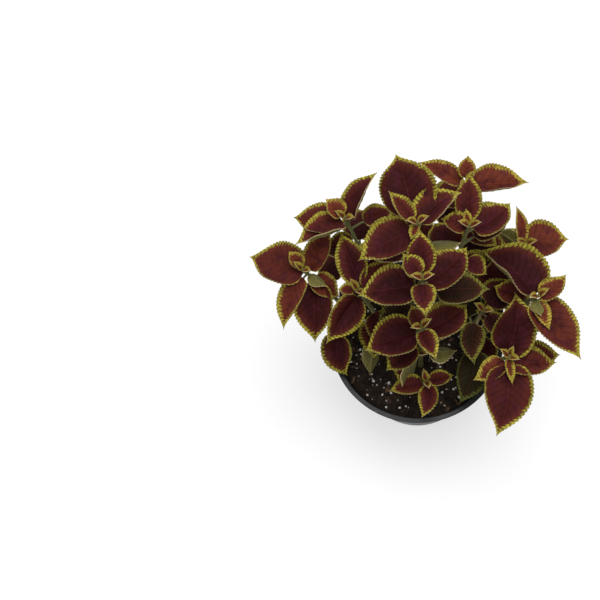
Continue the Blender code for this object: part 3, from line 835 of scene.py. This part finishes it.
def potProfile():
    # over the lip, down the outside, in across the base and up the inside, as (radius, height)
    shape = potShape
    rounding, steps = shape["rounding"], shape["roundSteps"]
    lipFoot, skirtRound = rimHeight - shape["lipHeight"], shape["skirtRound"]
    profile = roundCorner((rimRadius - rounding, rimHeight - rounding), rounding, 90, 0, steps)
    profile += roundCorner((rimRadius - shape["lipTaper"] - skirtRound, lipFoot + skirtRound),
                           skirtRound, 0, -90, shape["skirtSteps"])
    wallOut = potInside(lipFoot) + shape["wall"]
    profile += [(wallOut + shape["cove"], lipFoot), (wallOut, lipFoot - shape["cove"])]
    # two faint moulded steps down the wall
    (topOut, topUp), (footIn, footDown) = shape["stepTop"], shape["stepFoot"]
    for height in shape["stepHeights"]:
        radius = potInside(height) + shape["wall"]
        profile += [(radius + topOut, height + topUp), (radius - footIn, height - footDown)]
    baseRound = shape["baseRound"]
    profile += roundCorner((shape["baseRadius"] - baseRound, baseRound), baseRound, 0, -90,
                           shape["baseSteps"])
    profile += [(radius, 0.0) for radius in shape["baseRings"]]
    profile += [(shape["baseRings"][-1], shape["baseThickness"]),
                (potInside(shape["floorEdge"]), shape["baseThickness"]),
                (potInside(shape["middleHeight"]), shape["middleHeight"])]
    inner = rimRadius - shape["lipWidth"]
    return profile + roundCorner((inner + rounding, rimHeight - rounding), rounding, 180, 90,
                                 steps)


def levelRing(angles, radius, height):
    return np.stack([radius * np.cos(angles), radius * np.sin(angles),
                     np.full(len(angles), height)], -1)


def turnProfile(name, profile, sides):
    angles = np.linspace(0.0, 2 * np.pi, sides, endpoint=False)
    rings = [levelRing(angles, radius, height) for radius, height in profile]
    faces = gridFaces(len(rings), sides, flip=True, closed=True)
    last = (len(rings) - 1) * sides
    for j in range(sides):
        k = (j + 1) % sides
        faces.append((last + k, k, j, last + j))
    return addObject(name, newMesh(name, np.vstack(rings).tolist(), faces))


def cutDrainHoles(pot):
    shape = potShape
    cutters = []
    for step in range(shape["drainCount"]):
        angle = 2 * math.pi * (step + 0.5) / shape["drainCount"]
        bpy.ops.mesh.primitive_cylinder_add(
            vertices=shape["drainSides"], radius=shape["drainRadius"], depth=shape["drainDepth"],
            location=(shape["drainCircle"] * math.cos(angle),
                      shape["drainCircle"] * math.sin(angle), 0.0))
        cutters.append(bpy.context.object)
        cut = pot.modifiers.new("drain", "BOOLEAN")
        cut.operation, cut.object = "DIFFERENCE", cutters[-1]
    view = bpy.context.evaluated_depsgraph_get()
    finished = bpy.data.meshes.new_from_object(pot.evaluated_get(view))
    pot.modifiers.clear()
    pot.data = finished
    for cutter in cutters:
        bpy.data.objects.remove(cutter, do_unlink=True)


def blackPlastic():
    material, tree, shader = newMaterial("blackPlastic", roughness=0.48, specular=0.32)
    dust = grain(tree, 55.0, 4.0)
    scuff = grain(tree, 420.0, 4.0, 0.6, (1.0, 1.0, 0.25))
    colour = blendColour(tree, fade(tree, dust, 0.45, 0.8, 0.0, 0.5), potColours["plastic"],
                         potColours["dust"])
    colour = blendColour(tree, fade(tree, scuff, 0.62, 0.72, 0.0, 0.35), colour,
                         potColours["scuff"])
    put(shader.inputs["Roughness"], fade(tree, dust, 0.3, 0.8, 0.42, 0.60))
    setSurface(tree, shader, colour, scuff, 0.12, 0.0003)
    return material


def makePot():
    pot = turnProfile("nurseryPot", potProfile(), potShape["sides"])
    cutDrainHoles(pot)
    pot.data.set_sharp_from_angle(angle=math.radians(potShape["sharpAngle"]))
    pot.data.materials.clear()
    pot.data.materials.append(blackPlastic())
    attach(pot, "root")
    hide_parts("pot")


makePot()
print("pot moulded")


# Potting mix

soilShape = dict(gap=0.0004, belowRim=0.0115, rings=46, sides=150, middleRadius=0.0015,
                 middleHeight=0.06, waveHeight=0.0011, lumpHeight=0.0007, edgeDrop=0.001,
                 edgeWidth=0.006, dipDepth=0.0012, dipWidth=0.0045)
soilColours = dict(dark=(0.0085, 0.0060, 0.0045), brown=(0.034, 0.021, 0.013),
                   fibre=(0.075, 0.046, 0.028), perliteShade=(0.42, 0.38, 0.33),
                   perlite=(0.80, 0.78, 0.74), barkDark=(0.022, 0.012, 0.008),
                   bark=(0.115, 0.060, 0.032))
# loose grains on the mix: sizes are radii, flatness is height for width, and rough is how
# uneven a grain is
looseGrains = dict(
    soilCrumbs=dict(count=900, sizes=(0.0006, 0.0026), flatness=0.75, rough=0.30, stretch=1.0,
                    seed=41),
    perliteGrains=dict(count=280, sizes=(0.0005, 0.0016), flatness=0.85, rough=0.25, stretch=1.0,
                       seed=42),
    barkBits=dict(count=130, sizes=(0.0010, 0.0026), flatness=0.35, rough=0.25, stretch=1.9,
                  seed=43))
scatterShape = dict(fromWall=0.003, stemClear=0.0040, smallerPower=2.2, sunk=0.3, tilt=0.6,
                    corners=12, edgeSlack=1.1)
stemFeet = [(stem["foot"][0] * mm, stem["foot"][1] * mm) for stem in leafyStems.values()]


def soilHeight(x, y):
    # the broad lie of the mix, as in the solid under it, with fine lumps on top
    wave = np.sin(x * 190.0 + 1.3) * np.cos(y * 165.0) + 0.6 * np.sin((x - y) * 330.0)
    lumps = np.sin(x * 900 + 3 * np.sin(y * 640)) * np.cos(y * 820 + 2 * np.sin(x * 710))
    return (rimHeight - soilShape["belowRim"] + soilShape["waveHeight"] * wave
            + soilShape["lumpHeight"] * lumps)


def soilMaterial():
    material, tree, shader = newMaterial("pottingMix", roughness=0.93, specular=0.2)
    broad = grain(tree, 130.0, 5.0, 0.7)
    fine = grain(tree, 1100.0, 4.0, 0.7)
    colour = blendColour(tree, fade(tree, broad, 0.35, 0.7), soilColours["dark"],
                         soilColours["brown"])
    colour = blendColour(tree, fade(tree, fine, 0.55, 0.8, 0.0, 0.7), colour,
                         soilColours["fibre"])
    setSurface(tree, shader, colour, calc(tree, "ADD", fine, broad), 0.9, 0.0012)
    return material


def perliteMaterial():
    material, tree, shader = newMaterial("perlite", roughness=0.85, specular=0.3)
    fine = grain(tree, 1500.0, 4.0)
    colour = blendColour(tree, fade(tree, fine, 0.3, 0.7), soilColours["perliteShade"],
                         soilColours["perlite"])
    setSurface(tree, shader, colour, fine, 0.7, 0.0005)
    return material


def barkMaterial():
    material, tree, shader = newMaterial("barkChips", roughness=0.85, specular=0.25)
    streak = grain(tree, 520.0, 4.0, 0.6, (1.0, 0.25, 1.0))
    colour = blendColour(tree, fade(tree, streak, 0.35, 0.7), soilColours["barkDark"],
                         soilColours["bark"])
    setSurface(tree, shader, colour, streak, 0.8, 0.0006)
    return material


def lumpPoints(chance, radius, flatness, rough):
    # an uneven little ball: the corners of a twenty-sided solid, pushed in and out
    golden = (1 + 5 ** 0.5) / 2
    corners = []
    for a in (-1, 1):
        for b in (-golden, golden):
            corners += [(0, a, b), (a, b, 0), (b, 0, a)]
    corners = np.array(corners, float)
    corners /= np.linalg.norm(corners[0])
    push = np.array([1 + chance.uniform(-rough, rough) for _ in corners])[:, None]
    corners = corners * push * radius
    corners[:, 2] *= flatness
    angle = chance.uniform(0, 2 * math.pi)
    turn = np.array([[math.cos(angle), -math.sin(angle), 0],
                     [math.sin(angle), math.cos(angle), 0], [0, 0, 1]])
    tilt = chance.uniform(-scatterShape["tilt"], scatterShape["tilt"])
    tip = np.array([[1, 0, 0], [0, math.cos(tilt), -math.sin(tilt)],
                    [0, math.sin(tilt), math.cos(tilt)]])
    return corners @ turn.T @ tip.T


def ballFaces():
    # every three corners that are all neighbours make a face, turned outwards
    base = lumpPoints(random.Random(0), 1.0, 1.0, 0.0)
    limit = min(np.linalg.norm(base[0] - p) for p in base[1:]) * scatterShape["edgeSlack"]
    faces = []
    for a, b, c in itertools.combinations(range(scatterShape["corners"]), 3):
        near = [np.linalg.norm(base[p] - base[q]) < limit for p, q in ((a, b), (b, c), (a, c))]
        if all(near):
            out = np.dot(np.cross(base[b] - base[a], base[c] - base[a]), base[a])
            faces.append((a, b, c) if out > 0 else (a, c, b))
    return faces


def scatter(name, kind, material):
    shape = scatterShape
    chance = random.Random(kind["seed"])
    least, most = kind["sizes"]
    stretch, flatness = kind["stretch"], kind["flatness"]
    faces = ballFaces()
    points, allFaces = [], []
    reach = potInside(rimHeight - soilShape["belowRim"]) - shape["fromWall"]
    while len(points) < kind["count"]:
        distance = reach * math.sqrt(chance.random())
        angle = chance.uniform(0, 2 * math.pi)
        x, y = distance * math.cos(angle), distance * math.sin(angle)
        radius = least + (most - least) * chance.random() ** shape["smallerPower"]
        if any(math.hypot(x - a, y - b) < shape["stemClear"] + radius for a, b in stemFeet):
            continue
        lump = lumpPoints(chance, radius, flatness, kind["rough"])
        if stretch != 1.0:
            spin = chance.uniform(0, math.pi)
            way = np.array([math.cos(spin), math.sin(spin), 0.0])
            lump = lump + np.outer(lump @ way, way) * (stretch - 1.0)
        height = float(soilHeight(x, y)) + radius * flatness * (1.0 - 2 * shape["sunk"])
        first = shape["corners"] * len(points)
        points.append(lump + np.array([x, y, height]))
        allFaces += [(a + first, b + first, c + first) for a, b, c in faces]
    mesh = newMesh(name, np.vstack(points).tolist(), allFaces, smooth=False)
    mesh.materials.append(material)
    piece = addObject(name, mesh)
    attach(piece, "root")


def soilRings():
    # from the middle of the top out to the pot's wall, down it and in under the mix
    shape = soilShape
    edgeHeight = rimHeight - shape["belowRim"]
    edge = potInside(edgeHeight) - shape["gap"]
    edgeFoot = edgeHeight - shape["edgeDrop"]
    angles = np.linspace(0.0, 2 * np.pi, shape["sides"], endpoint=False)
    rings = []
    for radius in np.linspace(shape["middleRadius"], edge, shape["rings"]):
        x, y = radius * np.cos(angles), radius * np.sin(angles)
        # the mix settles a little towards the wall and dips round each stem
        settle = np.clip((edge - radius) / shape["edgeWidth"], 0.0, 1.0)
        height = edgeFoot + (soilHeight(x, y) - edgeFoot) * settle
        for a, b in stemFeet:
            away = ((x - a) ** 2 + (y - b) ** 2) / shape["dipWidth"] ** 2
            height = height - shape["dipDepth"] * np.exp(-away)
        rings.append(np.stack([x, y, height], -1))
    floor = potShape["baseThickness"] + shape["gap"]
    for height in (shape["middleHeight"], floor):
        rings.append(levelRing(angles, potInside(height) - shape["gap"], height))
    return rings + [levelRing(angles, shape["middleRadius"], floor)]


def makeSoil():
    sides = soilShape["sides"]
    rings = soilRings()
    faces = gridFaces(len(rings), sides, closed=True)
    faces.append(tuple(range(sides))[::-1])
    faces.append(tuple(range((len(rings) - 1) * sides, len(rings) * sides)))
    mesh = newMesh("pottingMix", np.vstack(rings).tolist(), faces)
    mix = soilMaterial()
    mesh.materials.append(mix)
    soil = addObject("pottingMix", mesh)
    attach(soil, "root")
    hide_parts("soil")
    grainFinishes = dict(soilCrumbs=mix, perliteGrains=perliteMaterial(), barkBits=barkMaterial())
    for name, kind in looseGrains.items():
        scatter(name, kind, grainFinishes[name])


makeSoil()
print("potting mix filled in")


# Floor and light

studioLook = dict(floorHalf=6.0, floorDrop=0.0002, floorColour=(0.34, 0.34, 0.345),
                  floorPatch=(0.345, 0.345, 0.345), floorGlow=0.585, glowColour=(1.0, 1.0, 1.0),
                  worldColour=(1.0, 1.0, 1.0), worldStrength=0.66, lampAim=(0.0, 0.0, 0.15))
studioLamps = dict(
    keyLight=dict(place=(0.30, 0.35, 2.1), size=1.5, watts=42.0, colour=(1.0, 0.985, 0.96)),
    fillLight=dict(place=(-1.3, -0.9, 1.5), size=1.6, watts=6.0, colour=(0.96, 0.97, 1.0)))


def makeFloor():
    look = studioLook
    half = look["floorHalf"]
    corners = [(-half, -half, 0), (half, -half, 0), (half, half, 0), (-half, half, 0)]
    mesh = newMesh("paleFloor", corners, [(0, 1, 2, 3)], smooth=False)
    material, tree, shader = newMaterial("palePaper", roughness=0.8, specular=0.2)
    colour = blendColour(tree, grain(tree, 3.0, 2.0), look["floorColour"], look["floorPatch"])
    putAll(shader, ("Base Color", colour), ("Emission Color", look["glowColour"]),
           ("Emission Strength", look["floorGlow"]))
    mesh.materials.append(material)
    floor = addObject("paleFloor", mesh)
    floor.location.z = -look["floorDrop"]


def makeLight():
    look = studioLook
    scene = bpy.context.scene
    world = bpy.data.worlds.new("studioWorld")
    scene.world = world
    world.use_nodes = True
    back = world.node_tree.nodes["Background"]
    putAll(back, ("Color", look["worldColour"]), ("Strength", look["worldStrength"]))
    for name, lamp in studioLamps.items():
        data = bpy.data.lights.new(name, "AREA")
        data.energy, data.size, data.color = lamp["watts"], lamp["size"], lamp["colour"]
        light = addObject(name, data)
        light.location = lamp["place"]
        aim = Vector(look["lampAim"]) - light.location
        light.rotation_euler = aim.to_track_quat("-Z", "Y").to_euler()
    scene.view_settings.view_transform = "Standard"
    scene.view_settings.exposure = 0.0


makeFloor()
makeLight()
print("studio lit")
